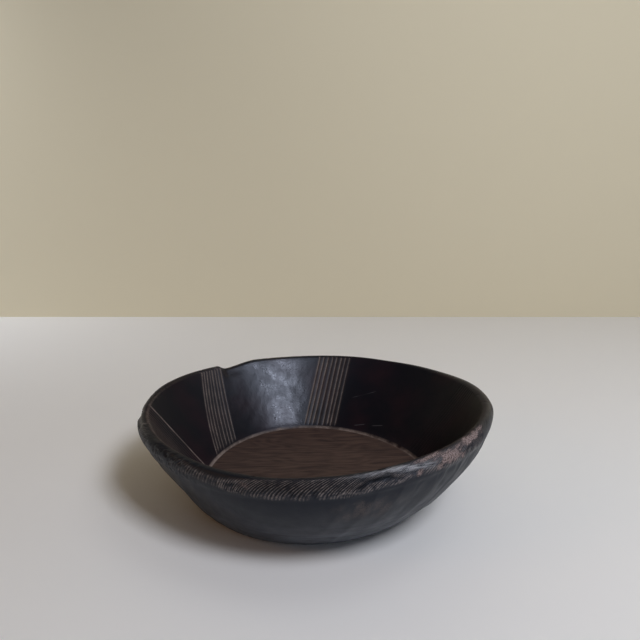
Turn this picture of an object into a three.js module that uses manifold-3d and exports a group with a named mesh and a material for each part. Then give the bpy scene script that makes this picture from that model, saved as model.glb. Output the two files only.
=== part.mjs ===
// A round, shallow food bowl carved by hand from one block of dense hardwood.
// It is a single piece of wood: a thick wall, a broad rounded lip, a flat floor inside and a flat foot.
// Millimetres, +Z up. The origin is at the middle of the bowl's footprint, on the surface it stands on.
import * as THREE from "three";
import { mergeVertices } from "three/addons/utils/BufferGeometryUtils.js";
import Module from "manifold-3d";

// ---- Driving dimensions -------------------------------------------------------------------------

const CREST_RADIUS = 142; // mean radius of the crest, the highest line of the rim
const CREST_HEIGHT = 78; // mean height of the crest above the table
const FLOOR_RADIUS = 95.5; // mean radius of the floor inside
const FLOOR_HEIGHT = 14; // thickness of the wood under the floor
const FOOT_INSET = 7; // the foot's edge lies this far inside the floor's edge

const LIP_TOP_WIDTH = 5.5; // gently sloping top of the lip, outwards from the crest
const LIP_TOP_FALL = 1; // how far that top falls
const LIP_BULGE = 7.5; // the lip's widest line, outwards from the crest
const LIP_BULGE_DROP = 7.5; // and below it
const LIP_FOOT = 6; // the lip's lower edge, outwards from the crest
const LIP_FOOT_DROP = 15; // and below it
const CREST_ROUND = 1.2; // the worn rounding of the crest

const HEEL_OUTSET = 5; // the outer wall's curve starts out level, as if to this far outside the floor's edge
const WALL_BELLY = 22.8; // and is then pulled this far outwards from the inside wall
const WALL_BELLY_AT = 0.467; // at this share of the inside wall's height
const FLOOR_CREASE_DEPTH = 0.9; // knife cut around the floor's edge
const FLOOR_CREASE_WIDTH = 1.8;

const FLUTES = 40; // adze cuts around the outside
const FLUTE_DEPTH = 0.7; // height of the ridge between two cuts
const FLUTE_LEAN = 9; // degrees that a ridge leans between the lip and the heel
const FLUTE_ENDS = { low: 0.05, deepLow: 0.3, deepHigh: 0.9, high: 1 }; // shares of the way up the wall
const COLUMNS_PER_FLUTE = 3;
const WALL_STEPS = 8;
const INSIDE_STEPS = 6;

// Slow waves that make the bowl uneven.
// Each has its lobes around the turn, its size in millimetres, and where its first peak is, in degrees.
const RIM_PLAN_WAVES = [
  { lobes: 1, size: 4.8, at: 13 },
  { lobes: 2, size: 1.3, at: 133 },
  { lobes: 3, size: 4.8, at: 50 },
];
const RIM_HEIGHT_WAVES = [
  { lobes: 1, size: 4.9, at: -14 },
  { lobes: 2, size: 5, at: -42 },
  { lobes: 3, size: 1.2, at: -43 },
];
const FLOOR_PLAN_WAVES = [
  { lobes: 1, size: 1.9, at: -61 },
  { lobes: 3, size: 2.9, at: -15 },
];
const WALL_PLAN_WAVES = [
  { lobes: 1, size: 4.8, at: -12 },
  { lobes: 2, size: 1.6, at: 86 },
];
const FOOT_OFFSET = [-6.2, -6]; // the foot was cut a little off the rim's centre

// A chip out of the crest: it drops at one end and rises slowly towards the other.
const NICK = { start: 116, full: 130.5, end: 134 };
const NICK_DEPTH = 4.2;
const NICK_REACH = 0.2; // share of the wall's height that gives way under it

// Where the lip was left thicker, in degrees and millimetres. The last of them starts in a step.
const LIP_SWELLS = [
  { start: -32, full: 20, end: 64, size: 6 },
  { start: 118, full: 152, end: 179, size: 3 },
  { start: 182, full: 190, end: 236, size: 1.2 },
];

const SWELL_AT = { wallStart: 0.6, lipFoot: 0.5, lipTop: 0.7 }; // how far down and in a swell is felt

// Groups of lines cut down the inside wall. A group's middle starts at one angle at the rim,
// and ends at another at the floor, in degrees. Its lines are spaced by hand, in millimetres.
const LINE_GROUPS = [
  { rim: 12, floor: 14, rimSpacing: 3.9, floorSpacing: 4.3 },
  { rim: 81.2, floor: 86.9, rimSpacing: 4.6, floorSpacing: 4.6 },
  { rim: 138.4, floor: 155, rimSpacing: 3.2, floorSpacing: 4.9 },
  { rim: 187, floor: 190, rimSpacing: 4.4, floorSpacing: 4.4 },
  { rim: 243, floor: 236, rimSpacing: 3.9, floorSpacing: 4.3 },
  { rim: 307, floor: 302, rimSpacing: 3.9, floorSpacing: 4.3 },
];
const LINES_PER_GROUP = 8;
const LINE_WIDTH = 1.3; // a V-shaped cut
const LINE_DEPTH = 0.7;
const LINE_MARGIN_RIM = 0.03; // share of the wall left uncut under the crest
const LINE_MARGIN_FLOOR = 0.04; // and above the floor
const LINE_STEPS = 3;
const LINE_OVERCUT = 3; // the wedge that cuts a line reaches this many depths out of it

// ---- Small helpers ------------------------------------------------------------------------------

const UP = new THREE.Vector3(0, 0, 1);
const radians = THREE.MathUtils.degToRad;
const { smoothstep, lerp, euclideanModulo } = THREE.MathUtils;

function waves(list, angle) {
  let sum = 0;
  for (const { lobes, size, at } of list) {
    sum += size * Math.cos(lobes * (angle - radians(at)));
  }
  return sum;
}

// A hump along the rim, in degrees: 0 at its start, 1 where it is full, and 0 again at its end.
function hump(angle, { start, full, end }) {
  const middle = (start + end) / 2;
  const at = middle + euclideanModulo(THREE.MathUtils.radToDeg(angle) - middle + 180, 360) - 180;
  return smoothstep(at, start, full) * (1 - smoothstep(at, full, end));
}

function lipSwell(angle) {
  return LIP_SWELLS.reduce((sum, swell) => sum + swell.size * hump(angle, swell), 0);
}

// ---- The section --------------------------------------------------------------------------------

// Stations along half a section: from the middle of the foot, up the outside, over the rim,
// and down to the middle of the floor. r and z are the mean section. The other values say
// how much of each unevenness a station takes.
function sectionStations() {
  const stations = [];
  const none = { rim: 0, foot: 0, floor: 0, lip: 0, wall: 0, flute: 0 };
  const add = (r, z, shares) => stations.push({ r, z, ...none, ...shares });

  const insideBelly = insideAt(WALL_BELLY_AT);
  const lipFoot = new THREE.Vector2(CREST_RADIUS + LIP_FOOT, CREST_HEIGHT - LIP_FOOT_DROP);
  const wall = new THREE.CubicBezierCurve(
    new THREE.Vector2(FLOOR_RADIUS - FOOT_INSET, 0),
    new THREE.Vector2(FLOOR_RADIUS + HEEL_OUTSET, 0),
    new THREE.Vector2(insideBelly.r + WALL_BELLY, insideBelly.z),
    lipFoot,
  );
  add(0, 0, {});
  wall.getPoints(WALL_STEPS).forEach((p, i) => {
    const along = i / WALL_STEPS;
    const rise = Math.max(p.y, 0) / lipFoot.y;
    const { low, deepLow, deepHigh, high } = FLUTE_ENDS;
    const flute = smoothstep(along, low, deepLow) * (1 - smoothstep(along, deepHigh, high));
    const lip = SWELL_AT.lipFoot * smoothstep(along, SWELL_AT.wallStart, 1);
    add(p.x, p.y, { rim: rise, foot: 1 - rise, wall: 4 * along * (1 - along), lip, flute });
  });
  add(CREST_RADIUS + LIP_BULGE, CREST_HEIGHT - LIP_BULGE_DROP, { rim: 1, lip: 1 });
  add(CREST_RADIUS + LIP_TOP_WIDTH, CREST_HEIGHT - LIP_TOP_FALL, { rim: 1, lip: SWELL_AT.lipTop });
  add(CREST_RADIUS + CREST_ROUND, CREST_HEIGHT, { rim: 1 });
  add(CREST_RADIUS, CREST_HEIGHT - CREST_ROUND, { rim: 1 });
  for (let i = INSIDE_STEPS - 1; i > 0; i--) {
    const share = i / INSIDE_STEPS;
    const { r, z } = insideAt(share);
    add(r, z, { rim: share, floor: 1 - share });
  }
  add(FLOOR_RADIUS + FLOOR_CREASE_WIDTH / 2, FLOOR_HEIGHT + FLOOR_CREASE_WIDTH / 2, { floor: 1 });
  add(FLOOR_RADIUS, FLOOR_HEIGHT - FLOOR_CREASE_DEPTH, { floor: 1 });
  add(FLOOR_RADIUS - FLOOR_CREASE_WIDTH, FLOOR_HEIGHT, { floor: 1 });
  add(0, FLOOR_HEIGHT, {});
  return stations;
}

// The inside wall's mean section, from the floor's edge at share 0 to the crest at share 1.
function insideAt(share) {
  return {
    r: lerp(FLOOR_RADIUS, CREST_RADIUS, share),
    z: lerp(FLOOR_HEIGHT, CREST_HEIGHT - CREST_ROUND, share),
  };
}

// Where a station lies at an angle, once the bowl's unevenness is added.
function placeOf(station, angle) {
  const { rim, foot, floor, lip, wall } = station;
  const radius = station.r
    + rim * waves(RIM_PLAN_WAVES, angle)
    + floor * waves(FLOOR_PLAN_WAVES, angle)
    + wall * waves(WALL_PLAN_WAVES, angle)
    + lip * lipSwell(angle);
  const nick = NICK_DEPTH * hump(angle, NICK) * smoothstep(rim, 1 - NICK_REACH, 1);
  return new THREE.Vector3(
    radius * Math.cos(angle) + foot * FOOT_OFFSET[0],
    radius * Math.sin(angle) + foot * FOOT_OFFSET[1],
    station.z + rim * waves(RIM_HEIGHT_WAVES, angle) - nick,
  );
}

// ---- The carved body ----------------------------------------------------------------------------

function carvedBody() {
  const stations = sectionStations();
  const columns = FLUTES * COLUMNS_PER_FLUTE;
  const section = stations.map(({ r, z }) => new THREE.Vector2(r, z));
  const body = new THREE.LatheGeometry(section, columns);
  const position = body.getAttribute("position");
  const flutePitch = (2 * Math.PI) / FLUTES;
  for (let i = 0; i < position.count; i++) {
    const station = stations[i % stations.length];
    const column = Math.floor(i / stations.length) % columns;
    const lean = radians(FLUTE_LEAN) * station.flute * (1 - station.z / CREST_HEIGHT);
    const angle = (column / COLUMNS_PER_FLUTE) * flutePitch - lean;
    const onRidge = column % COLUMNS_PER_FLUTE === 0;
    const cut = onRidge ? 0 : station.flute * FLUTE_DEPTH;
    const place = placeOf({ ...station, r: Math.max(station.r - cut, 0) }, angle);
    position.setXYZ(i, place.x, place.y, place.z);
  }
  return body;
}

// ---- The lines cut down the inside --------------------------------------------------------------

const wallSlope = Math.atan2(CREST_HEIGHT - FLOOR_HEIGHT, CREST_RADIUS - FLOOR_RADIUS);

// The deepest point of a line, at an angle and a share of the wall's height.
function lineBottom(angle, share) {
  const { r, z } = insideAt(share);
  const station = {
    r: r + LINE_DEPTH * Math.sin(wallSlope),
    z: z - LINE_DEPTH * Math.cos(wallSlope),
    rim: share,
    floor: 1 - share,
    foot: 0,
    lip: 0,
    wall: 0,
  };
  return placeOf(station, angle);
}

// A closed wedge through a row of three-cornered sections.
function wedgeThrough(sections) {
  const corners = sections.flat();
  const faces = [0, 1, 2];
  for (let start = 0; start < corners.length - 3; start += 3) {
    for (let side = 0; side < 3; side++) {
      const a = start + side;
      const b = start + ((side + 1) % 3);
      faces.push(a, b + 3, b, a, a + 3, b + 3);
    }
  }
  const last = corners.length - 3;
  faces.push(last, last + 2, last + 1);
  const wedge = new THREE.BufferGeometry().setFromPoints(corners);
  wedge.setIndex(faces);
  return wedge;
}

// One line's cut: the wedge's edge runs down the wall, and it opens square to the wall, into the bowl.
function lineCutter(group, index) {
  const fromMiddle = index - (LINES_PER_GROUP - 1) / 2;
  const rimAngle = radians(group.rim) + (fromMiddle * group.rimSpacing) / CREST_RADIUS;
  const floorAngle = radians(group.floor) + (fromMiddle * group.floorSpacing) / FLOOR_RADIUS;
  const sections = [];
  for (let i = 0; i <= LINE_STEPS; i++) {
    const share = lerp(LINE_MARGIN_FLOOR, 1 - LINE_MARGIN_RIM, i / LINE_STEPS);
    const straight = (share * CREST_RADIUS) / lerp(FLOOR_RADIUS, CREST_RADIUS, share);
    const angle = lerp(floorAngle, rimAngle, straight);
    const bottom = lineBottom(angle, share);
    const outOfWall = new THREE.Vector3(-Math.sin(wallSlope), 0, Math.cos(wallSlope));
    const across = new THREE.Vector3(0, LINE_WIDTH / 2, 0);
    const corners = [new THREE.Vector3(), across.clone().negate(), across];
    corners[1].addScaledVector(outOfWall, LINE_DEPTH);
    corners[2].addScaledVector(outOfWall, LINE_DEPTH);
    const turned = corners.map((corner) => {
      return corner.multiplyScalar(LINE_OVERCUT).applyAxisAngle(UP, angle).add(bottom);
    });
    sections.push(turned);
  }
  return wedgeThrough(sections);
}

// ---- Solids -------------------------------------------------------------------------------------

const wasm = await Module();
wasm.setup();

function solidOf(geometry) {
  const bare = geometry.clone();
  bare.deleteAttribute("normal");
  bare.deleteAttribute("uv");
  const merged = mergeVertices(bare, 1e-4);
  return new wasm.Manifold(new wasm.Mesh({
    numProp: 3,
    vertProperties: merged.getAttribute("position").array,
    triVerts: new Uint32Array(merged.index.array),
  }));
}

function geometryOf(solid) {
  const mesh = solid.getMesh();
  const geometry = new THREE.BufferGeometry();
  geometry.setAttribute("position", new THREE.BufferAttribute(mesh.vertProperties, 3));
  geometry.setIndex(new THREE.BufferAttribute(mesh.triVerts, 1));
  geometry.computeVertexNormals();
  return geometry;
}

function bowlGeometry() {
  let solid = solidOf(carvedBody());
  for (const group of LINE_GROUPS) {
    for (let i = 0; i < LINES_PER_GROUP; i++) {
      solid = solid.subtract(solidOf(lineCutter(group, i)));
    }
  }
  const geometry = geometryOf(solid);
  geometry.computeBoundingBox();
  const middle = geometry.boundingBox.getCenter(new THREE.Vector3());
  geometry.translate(-middle.x, -middle.y, -geometry.boundingBox.min.z);
  return geometry;
}

// ---- The part -----------------------------------------------------------------------------------

function blackenedWood() {
  return new THREE.MeshStandardMaterial({ color: 0x1d1817, roughness: 0.42, metalness: 0 });
}

const bowl = new THREE.Mesh(bowlGeometry(), blackenedWood());
bowl.name = "bowl";

const part = new THREE.Group();
part.add(bowl);

export default part;
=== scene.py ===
# %% [markdown]
# # A food bowl carved from one block
# The real bowl is a single piece of dense hardwood. A carver hollowed it with an adze, cut strokes along the
# rim with a narrow blade, scored groups of lines down the inside, then blackened the wood with smoke and
# rubbed it with oil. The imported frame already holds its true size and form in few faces. Here one fine mesh
# takes the place of the frame's plain solid, and one material gives it the smoke, the oil and the wear.
# Lengths are in millimetres until they go into a mesh, and angles are in degrees round from +X.

# %% Load the frame
import math

import bmesh
import bpy
import numpy as np
from mathutils import Matrix, Vector, geometry, noise


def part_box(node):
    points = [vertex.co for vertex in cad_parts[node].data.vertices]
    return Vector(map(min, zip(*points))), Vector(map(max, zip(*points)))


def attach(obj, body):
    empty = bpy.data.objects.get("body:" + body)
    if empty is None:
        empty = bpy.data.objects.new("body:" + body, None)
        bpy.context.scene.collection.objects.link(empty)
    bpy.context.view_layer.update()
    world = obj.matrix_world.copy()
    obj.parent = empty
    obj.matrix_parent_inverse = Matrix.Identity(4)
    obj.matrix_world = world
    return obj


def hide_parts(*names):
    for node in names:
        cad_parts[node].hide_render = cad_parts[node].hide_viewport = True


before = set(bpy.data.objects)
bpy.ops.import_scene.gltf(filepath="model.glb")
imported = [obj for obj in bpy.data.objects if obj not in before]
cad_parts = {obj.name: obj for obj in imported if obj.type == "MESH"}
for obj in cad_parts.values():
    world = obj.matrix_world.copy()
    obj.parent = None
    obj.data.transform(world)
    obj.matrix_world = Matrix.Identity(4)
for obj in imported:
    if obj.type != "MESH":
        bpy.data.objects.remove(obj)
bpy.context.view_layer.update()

MM = 0.001
bowl_low, bowl_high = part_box("bowl")
print("bowl in the frame, mm:", [round(v / MM, 1) for v in bowl_high - bowl_low])

# %% [markdown]
# ## The camera
# The bowl stands on a table and is looked at from the height of a seated person. A lens as long as the sensor
# is wide gives a normal view. The camera could also be aimed with a Track To constraint, but a fixed tilt is
# easier to read and to keep.

# %% Camera
EYE = Vector((3.1, -524.9, 268.3)) * MM
TILT_DOWN = 12.73
LENS = 36
SENSOR_WIDTH = 36

camera_data = bpy.data.cameras.new("camera")
camera_data.lens = LENS
camera_data.sensor_width = SENSOR_WIDTH
camera = bpy.data.objects.new("camera", camera_data)
camera.location = EYE
camera.rotation_euler = (math.radians(90 - TILT_DOWN), 0, 0)
bpy.context.scene.collection.objects.link(camera)
bpy.context.scene.camera = camera
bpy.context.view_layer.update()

# %% [markdown]
# ## The section
# A turned bowl would be one outline spun round. A carved one starts the same way: the mean section is drawn
# once, from the middle of the foot, up the outside, over the rim and down to the middle of the floor. Bezier
# curves give the belly and the lip, because that is how an adze leaves them, with no corner.

# %% Sizes of the section
CREST_RADIUS = 142
CREST_HEIGHT = 78
FLOOR_RADIUS = 95.5
FLOOR_HEIGHT = 14
FLOOR_RISE = 0.1
FOOT_RADIUS = 88.5
FOOT_HOLLOW = 0.5
BELLY = ((100.5, 0), (140, 43.3))

# Each lip curve's points, outwards and up from the crest
LIP_SIDE = ((6, -15), (7.5, -11.4), (8.0, -5.6), (6.4, -2.6))
LIP_SHOULDER = ((6.4, -2.6), (5.9, -0.8), (4.6, 0), (3.0, 0))
LIP_TOP = ((3.0, 0), (1.6, 0), (0.4, -0.65), (-0.4, -1.75))
BAND_FOOT = (CREST_RADIUS + LIP_SIDE[0][0], CREST_HEIGHT + LIP_SIDE[0][1])
WALL_TOP = (CREST_RADIUS + LIP_TOP[-1][0], CREST_HEIGHT + LIP_TOP[-1][1])

# The cut line round the floor, outwards and up from the floor's edge
FLOOR_LINE = ((1.3, 1.8), (0.6, 0.8), (0.1, -0.3), (-0.5, -0.8), (-1.2, -0.5), (-2.1, 0), (-3.5, 0.1))


def share(value, start, end):
    """0 at the start, 1 at the end, and a smooth rise between them."""
    t = np.clip((value - start) / (end - start), 0, 1)
    return t * t * (3 - 2 * t)


def curve(points, count):
    return geometry.interpolate_bezier(*[Vector((*p, 0)) for p in points], count)


print("band from", BAND_FOOT, "and inside wall from", WALL_TOP)

# %% [markdown]
# Each row of the section also says how much of each unevenness it takes later: the rim's waves, the foot's
# offset, the wall's fullness, the lip's swells and the floor's waves. The rows are closest in the band round
# the rim, where the carving is finest.

# %% Rows of the foot and the outside
MIDDLE_RINGS = (5, 38)
OUTER_RINGS_FROM = 44
HOLLOW_ENDS = (60, 86)
OUTSIDE_ROWS = 40
CLOSE_ROWS_ABOVE = 57
UNEVENNESS = ("rim", "foot", "wall", "lip", "floor")
rows = []


def add_row(zone, radius, height, **shares):
    row = {"zone": zone, "radius": radius, "height": height}
    for name in UNEVENNESS:
        row[name] = float(shares.get(name, 0))
    rows.append(row)


for radius in np.linspace(*MIDDLE_RINGS, 5):
    add_row("foot middle", radius, FOOT_HOLLOW, foot=1)
for radius in np.linspace(OUTER_RINGS_FROM, FOOT_RADIUS - 1, 7):
    add_row("foot", radius, FOOT_HOLLOW * (1 - share(radius, *HOLLOW_ENDS)), foot=1)
for i, point in enumerate(curve(((FOOT_RADIUS, 0), *BELLY, BAND_FOOT), OUTSIDE_ROWS)[:-1]):
    along = i / (OUTSIDE_ROWS - 1)
    rise = point.y / BAND_FOOT[1]
    fuller = 4 * along * (1 - along)
    taken = {"rim": rise, "foot": 1 - rise, "wall": fuller, "lip": 0.5 * share(along, 0.6, 1)}
    if point.y > CLOSE_ROWS_ABOVE:
        add_row("band", point.x, point.y, **taken)
    elif i % 2 == 0 and point.y < CLOSE_ROWS_ABOVE - 1:
        add_row("outside", point.x, point.y, **taken)
print(len(rows), "rows up to the band")

# %% Rows of the lip, the inside wall and the floor
INSIDE_ROWS = 22
LOWEST_INSIDE = 0.035

for outline, count in ((LIP_SIDE, 15), (LIP_SHOULDER, 5), (LIP_TOP, 6)):
    for point in curve(outline, count)[:-1]:
        lip = 0.5 + 0.5 * share(point.y, -15, -9) - 0.35 * share(point.y, -7, -1.5)
        lip *= share(point.x, 0, 5)
        add_row("band", CREST_RADIUS + point.x, CREST_HEIGHT + point.y, rim=1, lip=lip)
for up in np.linspace(1, LOWEST_INSIDE, INSIDE_ROWS):
    radius = FLOOR_RADIUS + up * (WALL_TOP[0] - FLOOR_RADIUS)
    height = FLOOR_HEIGHT + up * (WALL_TOP[1] - FLOOR_HEIGHT)
    add_row("band", radius, height, rim=up, floor=1 - up)
for outwards, up in FLOOR_LINE:
    add_row("band", FLOOR_RADIUS + outwards, FLOOR_HEIGHT + up, floor=1)
for radius in np.linspace(FLOOR_RADIUS - 6.5, OUTER_RINGS_FROM, 10):
    add_row("floor", radius, FLOOR_HEIGHT + FLOOR_RISE, floor=radius / FLOOR_RADIUS)
for radius in np.linspace(*MIDDLE_RINGS[::-1], 5):
    add_row("floor middle", radius, FLOOR_HEIGHT + FLOOR_RISE, floor=radius / FLOOR_RADIUS)
print(len(rows), "rows in all")

# %% [markdown]
# Every row gets its `run`: its distance along the section from the crest. It is above 0 on the outside and
# below 0 on the inside, so one number says where on the bowl a row lies.

# %% Distance along the section
crest = max(range(len(rows)), key=lambda i: (rows[i]["height"], rows[i]["radius"]))
lengths = [0.0]
for a, b in zip(rows, rows[1:]):
    lengths.append(lengths[-1] + math.hypot(b["radius"] - a["radius"], b["height"] - a["height"]))
for row, length in zip(rows, lengths):
    row["run"] = lengths[crest] - length
print("from", round(rows[0]["run"]), "mm down the outside to", round(-rows[-1]["run"]), "mm down the inside")

# %% [markdown]
# ## The blank
# Each zone of the section is spun round the axis, and its ring edges are then cut into as many columns as its
# carving needs. The rim has 4 columns for each stroke of the blade, and the plainer zones have fewer. A spin
# with all the columns at once would be slow, because each of its steps walks over the whole mesh.

# %% Spin the zones
SPIN_STEPS = 87
COLUMNS = {"foot middle": 1, "foot": 4, "outside": 8, "band": 16, "floor": 4, "floor middle": 1}
STROKES = SPIN_STEPS * COLUMNS["band"] // 4

bm = bmesh.new()
run_layer = bm.verts.layers.float.new("run")
for zone in COLUMNS:
    verts = []
    for row in rows:
        if row["zone"] == zone:
            vert = bm.verts.new((row["radius"], 0, row["height"]))
            vert[run_layer] = row["run"]
            verts.append(vert)
    edges = [bm.edges.new(pair) for pair in zip(verts, verts[1:])]
    bmesh.ops.spin(bm, geom=verts + edges, cent=(0, 0, 0), axis=(0, 0, 1), angle=math.tau,
                   steps=SPIN_STEPS, use_merge=True)
print("spun:", len(bm.faces), "faces in", len(COLUMNS), "zones")

# %% Cut each zone into its columns
for zone, columns in COLUMNS.items():
    runs = {round(row["run"], 2) for row in rows if row["zone"] == zone}
    around = []
    for edge in bm.edges:
        start, end = (round(v[run_layer], 2) for v in edge.verts)
        if start == end and start in runs:
            around.append(edge)
    if columns > 1:
        bmesh.ops.subdivide_edges(bm, edges=around, cuts=columns - 1, use_grid_fill=False)
    print(zone, "has", columns * SPIN_STEPS, "columns")

# %% [markdown]
# The zones are still loose from each other. `bridge_loops` joins two rings even when their counts differ, so
# each zone keeps its own fineness. The foot and the floor still have a hole in the middle. Each is filled and
# its face is poked, which leaves a fan of triangles round one point.

# %% Join the zones and close the middles
SAME_RUN = 1e-3


def rings_at(run):
    return [e for e in bm.edges if all(abs(v[run_layer] - run) < SAME_RUN for v in e.verts)]


for a, b in zip(rows, rows[1:]):
    if a["zone"] != b["zone"]:
        bmesh.ops.bridge_loops(bm, edges=rings_at(a["run"]) + rings_at(b["run"]))
for row in (rows[0], rows[-1]):
    made = bmesh.ops.edgeloop_fill(bm, edges=rings_at(row["run"]))
    middle = bmesh.ops.poke(bm, faces=made["faces"])["verts"]
    for vert in middle:
        vert[run_layer] = row["run"] + math.copysign(row["radius"], row["run"])
bmesh.ops.recalc_face_normals(bm, faces=bm.faces)
open_edges = sum(1 for e in bm.edges if len(e.link_faces) != 2)
triangles = sum(len(f.verts) - 2 for f in bm.faces)
print("blank:", len(bm.verts), "vertices,", triangles, "triangles,", open_edges, "open edges")

bowl_mesh = bpy.data.meshes.new("carved_bowl")
bm.to_mesh(bowl_mesh)
bm.free()

# %% [markdown]
# From here the mesh keeps its faces, and only its vertices move. They are read into arrays, one value for
# each vertex, so that one formula carves the whole bowl. Moving each vertex in a Python loop would be slow.
# `turn` says which column a vertex is in, and `run` which row.

# %% Read the blank
def read(mesh, name):
    values = np.empty(len(mesh.vertices), dtype=np.float32)
    mesh.attributes[name].data.foreach_get("value", values)
    return values.astype(float)


def section_value(name, **ends):
    upwards = rows[::-1]
    return np.interp(run, [row["run"] for row in upwards], [row[name] for row in upwards], **ends)


blank = np.empty(3 * len(bowl_mesh.vertices), dtype=np.float32)
bowl_mesh.vertices.foreach_get("co", blank)
blank = blank.reshape(-1, 3).astype(float)
run = read(bowl_mesh, "run")
turn = np.degrees(np.arctan2(blank[:, 1], blank[:, 0])) % 360
radius = section_value("radius", left=0, right=0)
height = section_value("height")
rim, foot, wall, lip, floor = (section_value(name) for name in UNEVENNESS)
column_width = math.tau * CREST_RADIUS / (SPIN_STEPS * COLUMNS["band"])
print("columns in the band are", round(column_width, 2), "mm wide")

# %% [markdown]
# ## Where the columns go
# The carver's cuts are fine, so the mesh's columns follow them: on the rim they sweep back with the strokes,
# and inside they run down with the scored lines, five columns to a line. A denser mesh everywhere would also
# catch the cuts, but it would need several times the faces.

# %% The lines' places
LINE_GROUPS = (  # the group's middle at the rim and at the floor, then its lines' spacing at each
    (12, 14, 3.9, 4.3), (81.2, 86.9, 4.6, 4.6), (138.4, 155, 3.2, 4.9),
    (187, 190, 4.4, 4.4), (243, 236, 3.9, 4.3), (307, 302, 3.9, 4.3))
LINES_PER_GROUP = 8
LINE_WIDTH = 1.4
LINE_STRAY = 0.35
COLUMN_PITCH = 360 / (SPIN_STEPS * COLUMNS["band"])
COLUMNS_APART = 7
LINE_COLUMNS = (-2, -1, 0, 1, 2)
draw = np.random.default_rng(7)

line_turns = []
rim_angles = []
floor_angles = []
for at_rim, at_floor, rim_spacing, floor_spacing in LINE_GROUPS:
    middle_column = round((at_rim + at_floor) / 2 / COLUMN_PITCH)
    for i in range(LINES_PER_GROUP):
        column = middle_column + COLUMNS_APART * i - COLUMNS_APART * LINES_PER_GROUP // 2
        from_middle = i - (LINES_PER_GROUP - 1) / 2
        stray = LINE_STRAY * (2 * draw.random(2) - 1)
        for step in LINE_COLUMNS:
            line_turns.append((column + step) * COLUMN_PITCH)
            across = step / (len(LINE_COLUMNS) - 1) * LINE_WIDTH
            rim_mm = from_middle * rim_spacing + stray[0] + across
            floor_mm = from_middle * floor_spacing + 2 * stray[1] + across
            rim_angles.append(at_rim + math.degrees(rim_mm / CREST_RADIUS))
            floor_angles.append(at_floor + math.degrees(floor_mm / FLOOR_RADIUS))
print("columns that follow lines:", len(line_turns))

# %% [markdown]
# A line that changed its angle evenly up the sloping wall would come out bent. `up_line` turns the share of
# the way up the wall into the share of the way round, so each line is straight in space, as a knife runs.

# %% Columns inside follow the lines
def follow(angles):
    """The angle at each vertex, if the columns at line_turns are moved to these angles."""
    order = np.argsort(line_turns)
    before = np.array(line_turns)[order]
    after = np.array(angles)[order]
    return np.interp(turn, np.r_[before - 360, before, before + 360], np.r_[after - 360, after, after + 360])


up_wall = np.clip(rim, 0, 1)
up_line = up_wall * CREST_RADIUS / (FLOOR_RADIUS + up_wall * (CREST_RADIUS - FLOOR_RADIUS))
inside_angle = follow(floor_angles) * (1 - up_line) + follow(rim_angles) * up_line
print("columns inside move by up to", round(float(np.max(np.abs(follow(rim_angles) - turn))), 1), "degrees")

# %% Columns outside sweep back with the strokes
BAND_WIDTH = 16
SWEEP = 7.5
SWEEP_CHANGES = ((5, 278, 302, 330), (-4.5, 205, 244, 262))
STROKE_WANDER = ((0.12, 1, 6), (0.2, 5, 13))  # how far a stroke strays, and the run over which it starts to
WANDER_FADES = (40, 18)
INSIDE_TAKES_OVER = (0, 3)


def hump(at, start, full, end):
    """Along the rim: 0 at the start, 1 where it is full, 0 again at the end."""
    middle = (start + end) / 2
    near = middle + (at - middle + 180) % 360 - 180
    return share(near, start, full) * (1 - share(near, full, end))


def humps(at, table):
    """The sum of several humps, each given as its size, start, full and end."""
    return sum(size * hump(at, *places) for size, *places in table)


down_band = np.clip(run / BAND_WIDTH, 0, 1)
sweep = SWEEP + humps(turn, SWEEP_CHANGES)
outside_angle = turn - sweep * (1 - (1 - down_band) ** 2)
stroke_turns = np.arange(STROKES + 1) * 360 / STROKES
for size, start, end in STROKE_WANDER:
    wander = size * (2 * draw.random(STROKES) - 1)
    drift = np.interp(turn, stroke_turns, np.r_[wander, wander[0]])
    outside_angle += drift * share(run, start, end) * share(run, *WANDER_FADES)
from_outside = share(-run, *INSIDE_TAKES_OVER)
angle = np.where(run < 0, turn + (inside_angle - turn) * from_outside, outside_angle)
print("columns swept back by up to", round(float(np.max(turn - outside_angle)), 1), "degrees")

# %% [markdown]
# ## The form
# No hand-carved bowl is round. Slow waves move its rim in plan and in height, its wall is fuller on one side,
# its foot was cut a little off centre, and a chip is gone from the crest. The waves are cosines with one, two
# or three lobes round the turn. The form is then laid on the middle of the frame's own bowl.

# %% The bowl's unevenness
# Each wave: its lobes, its size, and where its first peak is
RIM_PLAN_WAVES = ((1, 4.8, 13), (2, 1.3, 133), (3, 4.8, 50))
RIM_HEIGHT_WAVES = ((1, 4.9, -14), (2, 5, -42), (3, 1.2, -43))
FLOOR_PLAN_WAVES = ((1, 1.9, -61), (3, 2.9, -15))
WALL_PLAN_WAVES = ((1, 4.8, -12), (2, 1.6, 86))
FOOT_OFFSET = (-6.2, -6)
NICK = (116, 130.5, 134)
NICK_DEPTH = 4.2
LIP_SWELLS = ((6, -32, 20, 64), (3, 118, 152, 179), (2, 184, 187.5, 232))


def waves(table):
    return sum(size * np.cos(np.radians(lobes * (angle - peak))) for lobes, size, peak in table)


reach = radius + rim * waves(RIM_PLAN_WAVES) + wall * waves(WALL_PLAN_WAVES)
reach += lip * humps(angle, LIP_SWELLS) + floor * waves(FLOOR_PLAN_WAVES)
reach[radius == 0] = 0
nick = NICK_DEPTH * hump(angle, *NICK) * share(rim, 0.8, 1)
form = np.stack([
    reach * np.cos(np.radians(angle)) + foot * FOOT_OFFSET[0],
    reach * np.sin(np.radians(angle)) + foot * FOOT_OFFSET[1],
    height + rim * waves(RIM_HEIGHT_WAVES) - nick], axis=1)
print("form, mm:", [round(float(v), 1) for v in np.ptp(form, axis=0)])

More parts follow.
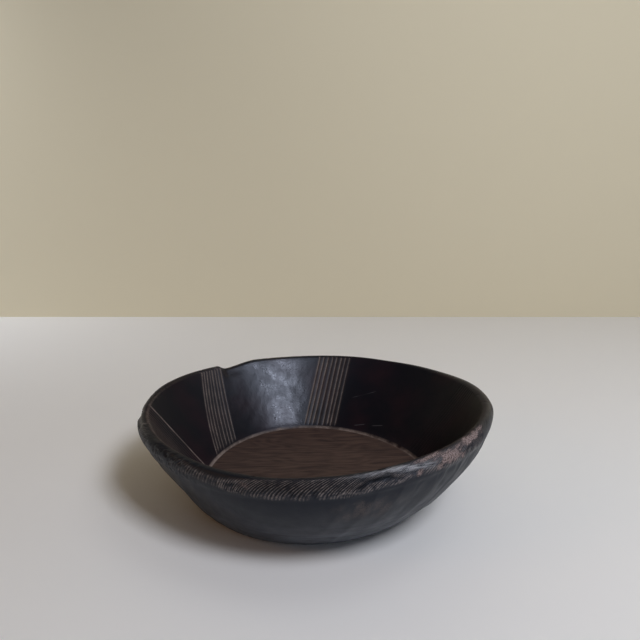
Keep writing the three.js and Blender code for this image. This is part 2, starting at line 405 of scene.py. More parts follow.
# %% Lay the form on the frame's bowl
frame_middle = (bowl_low + bowl_high) / 2 / MM
form_middle = (form.min(axis=0) + form.max(axis=0)) / 2
form[:, :2] += np.array(frame_middle)[:2] - form_middle[:2]
form[:, 2] += bowl_low.z / MM - form[:, 2].min()
bowl_mesh.vertices.foreach_set("co", (form * MM).ravel().astype(np.float32))
bowl_mesh.update()
facing = np.empty(3 * len(form), dtype=np.float32)
bowl_mesh.vertex_normals.foreach_get("vector", facing)
facing = facing.reshape(-1, 3).astype(float)
print("lowest and highest, mm:", round(float(form[:, 2].min()), 2), round(float(form[:, 2].max()), 2))

# %% [markdown]
# ## The cuts
# Every cut is a depth, taken off the form along its own normal. The depths are kept apart in `cuts`, so that
# each can be looked at or changed by itself. What a cut leaves for the finish, such as dust or bare wood, is
# kept in `coat`, as an amount from 0 to 1, and so are the places where highlights, shade and reflections are
# painted. Noise at a real size in millimetres makes both uneven.

# %% Helpers for uneven cuts
cuts = {}
coat = {}


def rough(size, offset, stretch=(1, 1, 1)):
    """Soft noise about `size` millimetres across, from -1 to 1."""
    places = form * np.array(stretch) / size + offset
    return np.array([noise.noise(Vector(p)) for p in places])


def arc(angles, centre):
    """Millimetres along the rim from an angle."""
    return np.radians((angles - centre + 180) % 360 - 180) * CREST_RADIUS


rough_40 = rough(40, 0.0)
rough_12 = rough(12, 3.1)
rough_4 = rough(4, 7.7)
rough_2 = rough(1.9, 1.3)
print("noise from", round(float(rough_4.min()), 2), "to", round(float(rough_4.max()), 2))

# %% [markdown]
# ### Strokes round the rim
# The blade was set down at the crest and pushed down and back, over and over, so the band is a row of curved
# strokes, each about 2.7 mm from the next, with a rounded lower end. Each stroke has its own force, start and
# end. Two stretches of the rim are worn almost smooth.

# %% Strokes
STROKE_DEPTH = 1.0
WORN_STRETCHES = ((0.85, 176, 214, 244), (0.9, 312, 336, 372))
NARROW_STRETCHES = ((5, 196, 230, 262), (3, 276, 290, 330))
LOW_STROKES = (214, 242, 264)

stroke_at = turn / 360 * STROKES
stroke = np.round(stroke_at).astype(int) % STROKES
across = 2 * (stroke_at - np.round(stroke_at))
stroke_end = -0.6 - 4.4 * draw.random(STROKES) ** 1.6
stroke_start = 0.3 + 1.6 * draw.random(STROKES)
stroke_force = 0.5 + 0.7 * draw.random(STROKES)
low_only = hump(angle, *LOW_STROKES)
worn = share(rough_12 + 0.5 * rough_40, 0.05, 0.6)
strength = np.clip(1 - humps(angle, WORN_STRETCHES) - 0.35 * worn, 0, 1)
band_foot = BAND_WIDTH - humps(angle, NARROW_STRETCHES) + 1.6 * rough_12
past_end = np.maximum(run - (band_foot + stroke_end[stroke] - 1.8), 0) / 1.8
before_start = np.maximum(stroke_start[stroke] + 6 * low_only + 1.5 - run, 0) / 1.5
in_stroke = 1 - share(np.hypot(across, np.hypot(past_end, before_start)), 0, 1)
deeper_down = 0.55 + 0.45 * share(run, 0, 9)
cuts["strokes"] = STROKE_DEPTH * stroke_force[stroke] * strength * deeper_down * in_stroke
print("strokes:", STROKES, "cut up to", round(float(cuts["strokes"].max()), 2), "mm deep")

# %% Painted highlights on the ridges between the strokes, and painted shade in them
between = share(np.abs(across), 0.2, 0.8) * share(in_stroke, 0.75, 0.15)
lower_ends = share(run, band_foot + 1, band_foot - 1) * share(run, 0.5, 3)
upper_ends = share(run, 5.5 * low_only - 1, 5.5 * low_only + 2)
broken = share(rough_2 + 0.7 * rough_4, -0.75, 0.15)
uneven = 0.85 + 0.9 * rough_12 + 0.5 * rough_4
# The pale ridges are painted highlights, where the raised wood catches the light. The dark valleys are
# painted shade in the strokes.
coat["ridge"] = between * strength * lower_ends * upper_ends * broken * uneven
coat["valley_shade"] = in_stroke * strength
pale = round(100 * float(np.mean(coat["ridge"][run > 0] > 0.3)))
print("pale ridges on", pale, "% of the outside's vertices")

# %% [markdown]
# On the near side the blade slipped and tore the band in places. These gouges are longer along the rim than
# they are high, so their noise is stretched that way. Each has a ragged edge painted pale as a highlight, and
# its hollow is painted dark as shade.

# %% Gouges
GOUGE_DEPTH = 0.7
GOUGED = (260, 288, 308)

along_rim = rough(4.5, 2.2, stretch=(0.3, 1, 1))
gouged = hump(angle, *GOUGED) * share(run, 3, 7) * share(run, band_foot + 1, band_foot - 2)
gouge = share(along_rim, 0.08, 0.3) * gouged
# The ragged edge is a painted highlight, and the gouge's dark hollow is painted shade.
ragged_edge = gouged * share(np.abs(along_rim - 0.02), 0.09, 0.03) * (0.6 + 0.8 * rough_4)
cuts["gouges"] = GOUGE_DEPTH * gouge
coat["ridge"] = np.maximum(coat["ridge"] * (1 - gouge), ragged_edge)
coat["valley_shade"] = np.maximum(coat["valley_shade"] * (1 - 0.5 * gouged), 0.8 * gouge)
print("gouges up to", round(float(cuts["gouges"].max()), 2), "mm deep")

# %% [markdown]
# ### Adze cuts down the outside
# An adze takes the outside down in long shallow hollows, side by side. The ridges between them lean the same
# way as the strokes, and rubbing has softened them. On one side a second pass left narrower cuts.

# %% Adze cuts
ADZE_CUTS = 40
ADZE_DEPTH = 0.8
ADZE_LEAN = 9
RUBBED_SMOOTH = (215, 264, 304)
FINE_CUTS_PER_CUT = 2.3
FINE_DEPTH = 0.55
FINE_SIDE = (282, 318, 352)

outer = share(run, BAND_WIDTH - 3, BAND_WIDTH + 4) * (1 - share(run, 88, 100))
leant = (angle + ADZE_LEAN * (1 - height / CREST_HEIGHT)) / 360 * ADZE_CUTS
edges_at = np.arange(ADZE_CUTS) + 0.5 * (draw.random(ADZE_CUTS) - 0.5)
edges_at = np.r_[edges_at - ADZE_CUTS, edges_at, edges_at + ADZE_CUTS]
leant = leant % ADZE_CUTS + 0.12 * rough_40
cut_index = np.searchsorted(edges_at, leant)
cut_start = edges_at[cut_index - 1]
cut_width = edges_at[cut_index] - cut_start
along_cut = (leant - cut_start) / cut_width
adze_force = 0.5 + draw.random(ADZE_CUTS)
hollow = 1 - (2 * along_cut - 1) ** 2
rubbed = 1 - 0.75 * hump(angle, *RUBBED_SMOOTH)
cuts["adze"] = ADZE_DEPTH * adze_force[cut_index % ADZE_CUTS] * hollow * outer
cuts["adze"] *= (0.8 + 0.4 * rough_40) * rubbed
fine_cut = (leant * FINE_CUTS_PER_CUT + 0.5 * rough_12) % 1
fine_hollow = (1 - (2 * fine_cut - 1) ** 2) * share(rough_12, -0.4, 0.3)
cuts["fine adze"] = FINE_DEPTH * hump(angle, *FINE_SIDE) * outer * fine_hollow
print("adze cuts:", ADZE_CUTS, "up to", round(float(cuts["adze"].max()), 2), "mm deep")

# %% [markdown]
# ### Lines scored down the inside
# Six groups of eight lines run down the wall, scored freehand with a knife: each has its own weight, and none
# starts or stops at quite the same height. Pale dust has stayed in them, more in some groups than in others,
# and one line has the most.

# %% Lines
LINE_DEPTH = 0.6
GROUP_DUST = (0.0, 1.0, 1.0, 0.3, 0.5, 0.5)
GROUP_WEIGHT = (0.3, 1, 1, 0.6, 1, 1)
DUSTIEST_LINE = 3 * LINES_PER_GROUP
DUSTIEST = 1.15
DUSTIEST_WIDTH = 1.4

line_centres = np.array(line_turns).reshape(-1, len(LINE_COLUMNS))[:, len(LINE_COLUMNS) // 2]
lines_cut = np.zeros(len(run))
scored = np.zeros(len(run))
for index, centre in enumerate(line_centres):
    group = index // LINES_PER_GROUP
    dust = GROUP_DUST[group] * (0.7 + 0.3 * draw.random())
    width = 1.0
    if index == DUSTIEST_LINE:
        dust = DUSTIEST
        width = DUSTIEST_WIDTH
    off = np.abs((turn - centre + 180) % 360 - 180) / COLUMN_PITCH
    top = 2.2 + 1.2 * draw.random()
    foot_end = 0.03 + 0.03 * draw.random()
    ends = share(-run, top - 0.8, top + 0.8) * share(rim, foot_end - 0.02, foot_end + 0.02)
    weight = GROUP_WEIGHT[group] * (0.65 + 0.5 * draw.random())
    on_wall = (run < 0) * ends * weight
    lines_cut += LINE_DEPTH * np.clip(1 - off / 2, 0, 1) * on_wall
    dusted = 0.88 * share(off / width, 2.3, 0.9) + 0.12 * share(off, 4.5, 3)
    scored = np.maximum(scored, dust * dusted * on_wall)
cuts["lines"] = lines_cut * (1 + 0.3 * rough_12)
print("lines:", len(line_centres), "up to", round(float(cuts["lines"].max()), 2), "mm deep")

# %% Dust in the lines and in the cut line round the floor
FLOOR_DUST = ((0.35, 120, 170, 240), (-0.2, -60, 10, 60))

floor_dust = (run < 0) * share(np.abs(radius - FLOOR_RADIUS), 1.4, 0.3) * (rim < 0.04)
floor_dust *= 0.6 + 0.6 * rough_12 + 0.5 * rough_4 + humps(angle, FLOOR_DUST)
coat["line"] = np.maximum(scored * (0.85 + 0.4 * rough_12 + 0.35 * rough_4), floor_dust)
print("dust on", round(100 * float(np.mean(coat["line"][run < 0] > 0.3))), "% of the inside's vertices")

# %% [markdown]
# ### Bare patches
# On one side of the rim, handling has gone through the black skin to the bare, fibrous wood. Each patch is an
# oval whose outline is broken by noise, and its surface lies a little lower than the skin. Painting them in
# would be quicker, but their ragged edges catch the light.

# %% Bare patches
BARE_PATCHES = (  # angle, run, half length and half width, how far it leans down, and how bare it is
    (318.2, 3.2, 14, 3.0, 0, 1), (307.8, 6.5, 11, 4.0, 0.25, 1), (300.5, 1.6, 10, 1.3, 0, 1),
    (297.4, 9.6, 1.8, 2.2, 0, 0.8), (303.6, 11.2, 2.2, 2.0, 0, 0.9), (324.5, 2.0, 5, 1.6, 0, 0.8),
    (251.9, 7.5, 3.2, 1.7, 0.4, 0.35))

bare = np.zeros(len(run))
for patch_angle, patch_run, half_length, half_width, lean, bareness in BARE_PATCHES:
    along = arc(angle, patch_angle)
    away = np.hypot(along / half_length, (run - patch_run - lean * along) / half_width)
    bare = np.maximum(bare, bareness * share(away + 0.75 * rough_4 + 0.5 * rough_2, 1.25, 0.85))
bare *= run > -2
coat["bare"] = bare
cuts["bare"] = bare * (0.7 + 0.5 * rough_2 + 0.3 * rough_4)
cuts["strokes"] *= 1 - 0.8 * bare
print("bare patches:", len(BARE_PATCHES), "up to", round(float(cuts["bare"].max()), 2), "mm deep")

# %% [markdown]
# ### Chips, a step and pits
# The crest has small chips all round, and more on the left, where the rim also drops by a step and is pitted
# below it. All are small, so they are cut with the same noises at a few millimetres.

# %% Chips, the step and pits
CHIP_DEPTH = 0.9
MOST_CHIPPED = (170, 200, 250)
STEP_DEPTH = 1.3
STEP = (181, 196.4)
STEP_EDGES = (4, 1.2)
PIT_DEPTH = 0.7
PITTED = (182, 218, 246)

near_crest = 1 - share(np.abs(run - 1), 2, 6)
chipped = 0.35 + 0.65 * hump(angle, *MOST_CHIPPED)
cuts["chips"] = CHIP_DEPTH * near_crest * chipped * share(rough_4 + 0.6 * rough_12, 0.45, 0.75)
step = share(angle, STEP[0], STEP[0] + STEP_EDGES[0]) * share(angle, STEP[1], STEP[1] - STEP_EDGES[1])
cuts["step"] = STEP_DEPTH * step * share(np.abs(run - 2.5), 7, 4)
on_band = (run > 0) * (1 - share(run, BAND_WIDTH - 1, BAND_WIDTH + 1))
cuts["pits"] = PIT_DEPTH * on_band * hump(angle, *PITTED) * share(rough_2 + 0.5 * rough_4, 0.05, 0.4)
print("chips up to", round(float(cuts["chips"].max()), 2), "mm deep")

# %% [markdown]
# ### Blade marks inside
# The inside wall keeps the small scallops of the finishing blade under its polish. Voronoi cells give them:
# each cell is a shallow scallop with a ridge where it meets the next. The whole surface is also a little
# uneven, as hand work is.

# %% Blade marks and unevenness
SCALLOP_SIZE = 7.5
SCALLOP_HEIGHT = 0.34
SCALLOP_LIMIT = 0.62
POLISHED = (62, 112, 150)

inner_wall = (run < -3) * share(rim, 0.03, 0.12)
scallops = np.array([noise.voronoi(Vector(p))[0][0] for p in form / SCALLOP_SIZE])
marked = inner_wall * (0.15 + 0.85 * hump(angle, *POLISHED))
cuts["blade marks"] = -SCALLOP_HEIGHT * marked * np.minimum(scallops, SCALLOP_LIMIT) ** 2
cuts["unevenness"] = 0.45 * rough_40 + 0.12 * rough_12 * (1 - on_band)
print("cuts:", ", ".join(cuts))

# %% [markdown]
# ### Where each finish and each painted light lies
# A pale grey glint is painted along the polished crest in one place. Highlights are painted in brown on the
# rim's inner edge, on the edge of the step and on a strip of the inner wall seen at a grazing angle, and the
# top of the crest is lighter brown in places. The inside is oiled, most on the wall that catches the light,
# and the lower outside is painted lighter and bluer towards the table, as a reflection of it. A brown stain
# lies on the outside on the near side. Each is an amount at each vertex, because an image would need the bowl
# unwrapped and painted by hand.

# %% The painted glint, painted edge highlights and the lighter crest top
GLINT_LOWERS = (289, 303)
GLINT_STRETCH = (276, 294, 307)
INNER_EDGE = (138, 205, 236)
INNER_EDGE_FAINT = (224, 256, 290)
TOP_LIGHTER = (-38, 20, 74)
TOP_LIGHTER_FAINT = (130, 175, 215)
STEP_ANGLE = 196
WALL_STRIP = (183, 199, 216)

# A painted glint: a pale grey streak along the crest, where its polish catches the key light.
glint_run = 2.2 + 5 * share(angle, *GLINT_LOWERS)
glint = share(np.abs(run - glint_run) + 1.4 * rough_4, 3.2, 0.8) * hump(angle, *GLINT_STRETCH)
coat["painted_glint"] = glint * (1 - bare)
# Painted highlights in brown: the rim's inner edge, the edge of the step and a strip of the inner wall seen
# at a grazing angle. The top of the crest is lighter brown in places.
edge_places = np.maximum(hump(angle, *INNER_EDGE), 0.45 * hump(angle, *INNER_EDGE_FAINT))
inner_edge_highlight = share(np.abs(run + 2.6 + 0.6 * rough_12), 1.5, 0.5) * edge_places
top_places = np.maximum(hump(angle, *TOP_LIGHTER), 0.5 * hump(angle, *TOP_LIGHTER_FAINT))
lighter_top = share(run, -1, 1.5) * share(run, 9, 5) * top_places
step_edge_light = share(np.abs(angle - STEP_ANGLE), 0.8, 0.2) * share(np.abs(run - 1), 5, 2)
grazing_light_strip = 0.3 * inner_wall * hump(angle, *WALL_STRIP) * share(rim, 0.1, 0.6)
coat["worn"] = np.maximum(inner_edge_highlight * (0.75 + 0.6 * rough_4), lighter_top * (0.3 + 0.3 * rough_12))
coat["worn"] = np.maximum(coat["worn"], np.maximum(step_edge_light, grazing_light_strip))
print("worn on", round(100 * float(np.mean(coat["worn"] > 0.3)), 1), "% of the vertices")

# %% Inside, oil, the painted reflection low outside, and the stain
BUFFED = (66, 110, 162)
OUTSIDE_OIL = 0.78
FLOOR_OIL = 0.5
STAINED = (271, 284, 302)

coat["floor"] = (run < 0) * share(radius, FLOOR_RADIUS + 1, FLOOR_RADIUS - 1)
coat["inside"] = share(-run, -2.5, 1.5)
coat["buffed"] = coat["inside"] * (1 - coat["floor"]) * hump(angle, *BUFFED)
coat["oiled"] = np.maximum(OUTSIDE_OIL * (1 - coat["inside"]), FLOOR_OIL * coat["floor"])
coat["oiled"] = np.maximum(coat["oiled"], coat["buffed"])
# Painted reflection: the lower outside grows lighter and bluer towards the pale table, in streaks.
coat["table_reflection"] = 0.95 * share(run, 38, 80) * (run > 0) * (0.8 + 0.5 * rough_40)
stain = hump(angle, *STAINED) * share(run, 19, 25) * share(run, 48, 38)
coat["stain"] = stain * share(rough_4 + 0.8 * rough_12, -0.3, 0.6)
print("finishes:", ", ".join(coat))

# %% [markdown]
# ### Take the cuts off
# The depths are added up and taken off along the form's normals, except under the foot, which stays flat so
# that the bowl stands. The finishes are stored on the mesh as attributes, which the material reads, so they
# stay with the surface. Vertex colours would do too, but each attribute has a name of its own.

# %% Carve the mesh
SOLE_HEIGHT = 1.5

total = sum(cuts.values())
total *= 1 - share(form[:, 2], SOLE_HEIGHT, 0) * (run > 60)
carved = form - facing * total[:, None]
carved[:, 2] = np.maximum(carved[:, 2], bowl_low.z / MM)
bowl_mesh.vertices.foreach_set("co", (carved * MM).ravel().astype(np.float32))
bowl_mesh.shade_smooth()
for name, values in coat.items():
    layer = bowl_mesh.attributes.new(name, "FLOAT", "POINT")
    layer.data.foreach_set("value", np.clip(values, 0, 1).astype(np.float32))
bowl_mesh.update()
bowl = bpy.data.objects.new("carved_bowl", bowl_mesh)
bpy.context.scene.collection.objects.link(bowl)
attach(bowl, "root")
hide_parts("bowl")
print("carved, mm:", [round(float(v), 1) for v in np.ptp(carved, axis=0)])

# %% [markdown]
# ## The finish
# The wood is a dense hardwood, blackened over smoke and rubbed with oil by hand. That gives the eye a soft,
# uneven sheen over near-black, brown where the floor is worn, pale dust in the scored lines, and dull bare
# fibre where the skin has gone. One Principled shader does all of it. A material for each finish would need
# the mesh cut along every ragged edge, so the attributes say where each finish lies instead.

# %% A helper that adds a node
def linear(hex_colour):
    """An sRGB hex colour as linear red, green, blue and 1."""
    values = [int(hex_colour[i:i + 2], 16) / 255 for i in (1, 3, 5)]
    return (*[v / 12.92 if v <= 0.04045 else ((v + 0.055) / 1.055) ** 2.4 for v in values], 1)


def add(kind, settings=None, **links):
    """Adds a node to `tree`. A setting is a property of the node or the value of an input, by name or number.
    A link is named for its input, or is i and the input's number."""
    node = tree.nodes.new("ShaderNode" + kind)
    for name, value in (settings or {}).items():
        if isinstance(name, str) and hasattr(node, name):
            setattr(node, name, value)
        else:
            node.inputs[name].default_value = value
    for name, socket in links.items():
        numbered = name[0] == "i" and name[1:].isdigit()
        key = int(name[1:]) if numbered else name.replace("_", " ")
        tree.links.new(socket, node.inputs[key])
    return node


wood = bpy.data.materials.new("smoke_blackened_oiled_hardwood")
wood.use_nodes = True
tree = wood.node_tree
tree.nodes.clear()
print("empty material:", wood.name)

# %% [markdown]
# Every pattern of the wood is noise at a real size. A Mapping node of the Texture kind makes the marks longer
# in some directions and turns them, as fibres and scratches lie. The finest grain of such wood is closer than
# can be seen from here, so its marks are drawn 0.7 mm wide.

# %% Attributes and noises
WOOD_NOISES = {  # size of a mark, detail, how many times longer it is each way, and its turn
    "clouds": (38, 3, (1, 1, 1), (0, 0, 0)),
    "patches": (9, 3, (1, 1, 1), (0, 0, 0)),
    "fuzz": (2.4, 3, (1, 1, 1), (0, 0, 0)),
    "specks": (0.8, 2, (1, 1, 1), (0, 0, 0)),
    "figure": (22, 1.5, (3.5, 1, 1), (0, 0, 4)),
    "grain": (2.2, 3, (14, 1, 1), (0, 0, 3)),
    "fine grain": (0.7, 2, (24, 1, 1), (0, 0, 3)),
    "rim fibre": (1.1, 3, (8, 1, 1), (0, 0, 22)),
    "round streaks": (2.6, 3, (9, 9, 1), (0, 0, 0)),
    "scratches": (0.8, 1, (26, 1, 1), (0, 52, 0)),
    "cross scratches": (0.7, 1, (30, 1, 1), (0, -30, 20))}

amount_of = {name: add("Attribute", {"attribute_name": name}).outputs["Fac"] for name in coat}
place = add("TexCoord").outputs["Object"]
marks = {}
for name, (size, detail, longer, turned) in WOOD_NOISES.items():
    rotation = [math.radians(a) for a in turned]
    placed = add("Mapping", {"vector_type": "TEXTURE", "Scale": longer, "Rotation": rotation}, Vector=place)
    noise_node = add("TexNoise", {"Scale": 1 / (size * MM), "Detail": detail}, Vector=placed.outputs[0])
    marks[name] = noise_node.outputs["Fac"]
print("noises:", len(marks), "attributes:", len(amount_of))

# %% [markdown]
# The smoked skin is near-black and browner in clouds inside. Outside it is painted bluer, as a reflection of
# the cool light and the pale table. The floor is worn to the brown of the wood. Its figure, the rings of the
# tree cut through, is a sine of a stretched noise, with grain over it.

# %% The smoked skin and the floor's grain
SMOKE_BLACK = "#131217"
SMOKE_BROWN = "#20151a"
SMOKE_BLUE_REFLECTION = "#0f131b"
FLOOR_BROWN = "#4e3c34"
FLOOR_DARK = "#291c1a"
FIGURE_RINGS = 60
FIGURE_STRENGTH = 0.09

browner = add("MapRange", {"From Min": 0.42, "From Max": 0.68}, Value=marks["clouds"]).outputs[0]
smoked = {"data_type": "RGBA", 6: linear(SMOKE_BLACK), 7: linear(SMOKE_BROWN)}
inside_skin = add("Mix", smoked, i0=browner).outputs[2]
# Outside, the near-black is tinted blue: a painted reflection of the cool light and the pale table.
skin = add("Mix", {"data_type": "RGBA", 6: linear(SMOKE_BLUE_REFLECTION)}, i0=amount_of["inside"], i7=inside_skin)
rings = add("Math", {"operation": "MULTIPLY", 1: FIGURE_RINGS}, i0=marks["figure"])
rings = add("Math", {"operation": "SINE"}, i0=rings.outputs[0])
ringed = {"operation": "MULTIPLY_ADD", 1: FIGURE_STRENGTH}
tone = add("Math", ringed, i0=rings.outputs[0], i2=marks["fine grain"])
tone = add("Math", {"operation": "ADD"}, i0=tone.outputs[0], i1=marks["grain"])
tone = add("MapRange", {"From Min": 0.72, "From Max": 1.2}, Value=tone.outputs[0])
worn_floor = {"data_type": "RGBA", 6: linear(FLOOR_DARK), 7: linear(FLOOR_BROWN)}
floor_colour = add("Mix", worn_floor, i0=tone.outputs[0]).outputs[2]
colour = add("Mix", {"data_type": "RGBA"}, i0=amount_of["floor"], i6=skin.outputs[2], i7=floor_colour)
print("skin", SMOKE_BLACK, "floor", FLOOR_BROWN)

# %% [markdown]
# Three short scratches cross the inside wall. They are too shallow to cut, so the material draws each as a
# thin grey segment: the distance beside its line, and the distance along it from its middle, both fade out.

# %% Scratches
SCRATCH_GREY = "#423f42"
SCRATCHES = (  # the angle and run of each end
    ((70.4, -46.7), (58.8, -36.0)), ((65.5, -75.2), (58.5, -72.0)), ((54.5, -70.8), (47.4, -68.0)))
SCRATCH_EDGES = (0.5, 0.2)


def surface_point(at_angle, at_run):
    nearest = np.argmin(np.hypot(arc(angle, at_angle), run - at_run))
    return Vector(carved[nearest]) * MM


for start, end in SCRATCHES:
    start_point = surface_point(*start)
    along = surface_point(*end) - start_point
    from_start = add("VectorMath", {"operation": "SUBTRACT", 1: start_point}, i0=place).outputs[0]
    beside = add("VectorMath", {"operation": "CROSS_PRODUCT", 1: along.normalized()}, i0=from_start)
    beside = add("VectorMath", {"operation": "LENGTH"}, i0=beside.outputs[0]).outputs["Value"]
    thin = {"From Min": SCRATCH_EDGES[0] * MM, "From Max": SCRATCH_EDGES[1] * MM}
    beside = add("MapRange", thin, Value=beside).outputs[0]
    middle = add("VectorMath", {"operation": "DOT_PRODUCT", 1: along.normalized()}, i0=from_start)
    middle = add("Math", {"operation": "SUBTRACT", 1: along.length / 2}, i0=middle.outputs["Value"])
    middle = add("Math", {"operation": "ABSOLUTE"}, i0=middle.outputs[0]).outputs[0]
    fading = {"From Min": along.length / 2, "From Max": along.length / 3}
    middle = add("MapRange", fading, Value=middle).outputs[0]
    amount = add("Math", {"operation": "MULTIPLY"}, i0=beside, i1=middle).outputs[0]
    colour = add("Mix", {"data_type": "RGBA", 7: linear(SCRATCH_GREY)}, i0=amount, i6=colour.outputs[2])
    print("scratch", round(along.length / MM, 1), "mm long")

# %% [markdown]
# The other finishes, with the painted reflection, highlights and shade, are laid on one over another. Each is
# its attribute's amount, broken up by one of the noises, so that no edge is clean.

# %% Painted reflection, highlights and shade, stain, dust, wear and bare wood
TABLE_REFLECTION_GREY = "#4a4e55"
STAIN_BROWN = "#4a403c"
LINE_DUST = "#85776f"
EDGE_LIGHT_BROWN = "#63564f"
RIDGE_HIGHLIGHT_BROWN = "#8b807b"
VALLEY_SHADE_BLACK = "#0a0809"
GLINT_GREY = "#9c9b9c"
BARE_DARK = "#3d302c"
BARE_WOOD = "#978580"
LAYERS = (  # where it lies, its colour, the noise that breaks it up, and how much the noise leaves at least
    ("table_reflection", TABLE_REFLECTION_GREY, "round streaks", 0.1), ("stain", STAIN_BROWN, "specks", 0.2),
    ("line", LINE_DUST, "specks", 0.55), ("worn", EDGE_LIGHT_BROWN, "fuzz", 0.4),
    ("ridge", RIDGE_HIGHLIGHT_BROWN, "specks", 0.3), ("valley_shade", VALLEY_SHADE_BLACK, "specks", 0.9),
    ("painted_glint", GLINT_GREY, "rim fibre", 0.0), ("bare", BARE_DARK, "specks", 1.0),
    ("bare", BARE_WOOD, "specks", 0.0))

# The reflection low outside, the ridge and edge highlights, the glint and the shade in the strokes are
# painted light and shade.
for name, hex_colour, breaks, least in LAYERS:
    patchy = {"From Min": 0.36, "From Max": 0.6, "To Min": least}
    patchy = add("MapRange", patchy, Value=marks[breaks]).outputs[0]
    amount = add("Math", {"operation": "MULTIPLY"}, i0=amount_of[name], i1=patchy).outputs[0]
    colour = add("Mix", {"data_type": "RGBA", 7: linear(hex_colour)}, i0=amount, i6=colour.outputs[2])
print("layers:", len(LAYERS))

# %% [markdown]
# Oil on wood has an index of refraction near 1.5. Rubbing leaves it satin outside and closer to polish on the
# inside wall, while dust, the worn floor and bare wood stay dull. Fine relief comes from a Bump node, since
# scratches and grain this shallow would need millions of faces.

# %% Sheen
WOOD_IOR = 1.5
OIL_TINT = "#eaf0ff"
DRY_SHEEN = 0.09
OIL_SHEEN = 0.43
SATIN = (0.36, 0.5)
POLISH = (0.24, 0.4)
DRY_ROUGHNESS = 0.52
DULL = (("floor", 0.62), ("line", 0.8), ("bare", 0.9))

finishes = []
for ends in (SATIN, POLISH):
    finish = {"From Min": 0.3, "From Max": 0.7, "To Min": ends[0], "To Max": ends[1]}
    finishes.append(add("MapRange", finish, Value=marks["patches"]).outputs[0])
satin, polish = finishes
roughness = add("Mix", {"data_type": "FLOAT"}, i0=amount_of["inside"], i2=satin, i3=polish)
dry = {"data_type": "FLOAT", 2: DRY_ROUGHNESS}
roughness = add("Mix", dry, i0=amount_of["oiled"], i3=roughness.outputs[0])
for name, value in DULL:
    dull = {"data_type": "FLOAT", 3: value}
    roughness = add("Mix", dull, i0=amount_of[name], i2=roughness.outputs[0])
sheen = add("MapRange", {"To Min": DRY_SHEEN, "To Max": OIL_SHEEN}, Value=amount_of["oiled"])
print("roughness from", POLISH[0], "on the polish to", DULL[-1][1], "on bare wood")

# %% Relief and the shader
RELIEF = 0.4
RELIEF_STRENGTH = 0.6
PATCH_RELIEF = 0.5
RELIEF_MARKS = (  # the noise, where it lies, and its share of the relief
    ("fuzz", "oiled", 0.3), ("scratches", "buffed", 0.5), ("cross scratches", "buffed", 0.5),
    ("grain", "floor", 0.5))

relief = add("Math", {"operation": "MULTIPLY", 1: PATCH_RELIEF}, i0=marks["patches"])
for name, where, height_share in RELIEF_MARKS:
    there = add("Math", {"operation": "MULTIPLY", 1: height_share}, i0=amount_of[where]).outputs[0]
    relief = add("Math", {"operation": "MULTIPLY_ADD"}, i0=marks[name], i1=there, i2=relief.outputs[0])
bump = add("Bump", {"Strength": RELIEF_STRENGTH, "Distance": RELIEF * MM}, Height=relief.outputs[0])
shader = add("BsdfPrincipled", {"IOR": WOOD_IOR, "Specular Tint": linear(OIL_TINT)},
             Base_Color=colour.outputs[2], Roughness=roughness.outputs[0],
             Specular_IOR_Level=sheen.outputs[0], Normal=bump.outputs[0])
add("OutputMaterial", Surface=shader.outputs[0])
bowl_mesh.materials.append(wood)
print("material nodes:", len(tree.nodes))

# %% [markdown]
# ## The studio
# The bowl stands on a pale table with a plain wall behind it. A curved backdrop would hide the line between
# them, but the bowl was seen on a table that meets a wall.

# %% Table and wall
TABLE_PALE = "#f1efec"
WALL_PALE = "#e5dabd"
HALF_SIZE = 3
WALL_BEHIND = 0.69


def plain_surface(name, hex_colour, roughness, placing):
    surface = bpy.data.meshes.new(name)
    made = bmesh.new()
    bmesh.ops.create_grid(made, x_segments=1, y_segments=1, size=1, matrix=placing)
    made.to_mesh(surface)
    made.free()
    material = bpy.data.materials.new(name)
    material.use_nodes = True
    shader = material.node_tree.nodes["Principled BSDF"]
    shader.inputs["Base Color"].default_value = linear(hex_colour)
    shader.inputs["Roughness"].default_value = roughness
    surface.materials.append(material)
    thing = bpy.data.objects.new(name, surface)
    bpy.context.scene.collection.objects.link(thing)
    print(name, hex_colour)


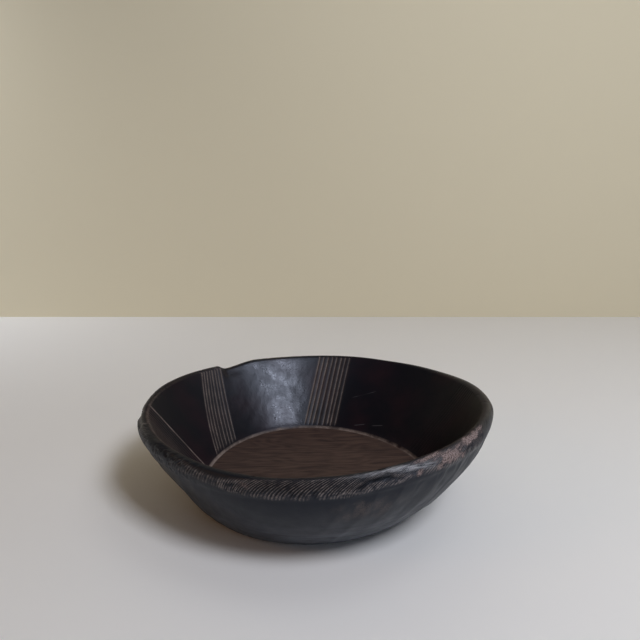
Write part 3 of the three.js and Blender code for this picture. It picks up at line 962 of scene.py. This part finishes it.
table_place = Matrix.Diagonal((HALF_SIZE, HALF_SIZE, 1, 1))
wall_place = Matrix.Translation((0, WALL_BEHIND, 0)) @ Matrix.Rotation(math.pi / 2, 4, "X") @ table_place
plain_surface("table", TABLE_PALE, 0.6, table_place)
plain_surface("backdrop", WALL_PALE, 0.9, wall_place)

# %% [markdown]
# Large area lights give soft light. The key comes from the front right and above. The others are weak: one
# from the side for the far rim, a warm fill from the left, a cool one low in front, and one that only washes
# the wall. A dim, even sky fills what is left.

# %% Lights
def soft_light(name, stands, towards, size, power, hex_colour, spread=180):
    data = bpy.data.lights.new(name, "AREA")
    data.shape = "RECTANGLE"
    data.size = size[0]
    data.size_y = size[1]
    data.energy = power
    data.color = linear(hex_colour)[:3]
    data.spread = math.radians(spread)
    light = bpy.data.objects.new(name, data)
    light.location = stands
    light.rotation_euler = (Vector(towards) - Vector(stands)).to_track_quat("-Z", "Y").to_euler()
    bpy.context.scene.collection.objects.link(light)
    print(name, "at", stands, "gives", power, "W")


soft_light("key", (0.72, -0.84, 1.32), (0, 0, 0), (0.5, 0.5), 16.6, "#f1f5ff")
soft_light("side", (0.75, 0.15, 1.5), (0, 0, 0), (0.6, 0.6), 2, "#f6f9ff")
soft_light("fill", (-1.6, -0.6, 0.9), (0, 0, 0), (0.8, 0.8), 0.4, "#ffbf78", spread=70)
soft_light("front", (0.85, -1.2, 0.5), (0.1, -0.3, 0), (0.8, 0.4), 2.4, "#dfe9ff")
soft_light("wall_wash", (-0.9, 0.45, 0.9), (-0.8, 0.69, 0.1), (0.4, 0.4), 1.1, "#eef3ff", spread=90)

# %% Sky
SKY = "#ebe8e4"
SKY_STRENGTH = 0.05

world = bpy.data.worlds.new("studio")
world.use_nodes = True
background = world.node_tree.nodes["Background"]
background.inputs["Color"].default_value = linear(SKY)
background.inputs["Strength"].default_value = SKY_STRENGTH
bpy.context.scene.world = world
bpy.context.scene.view_settings.view_transform = "Standard"
print("sky", SKY, "at", SKY_STRENGTH)
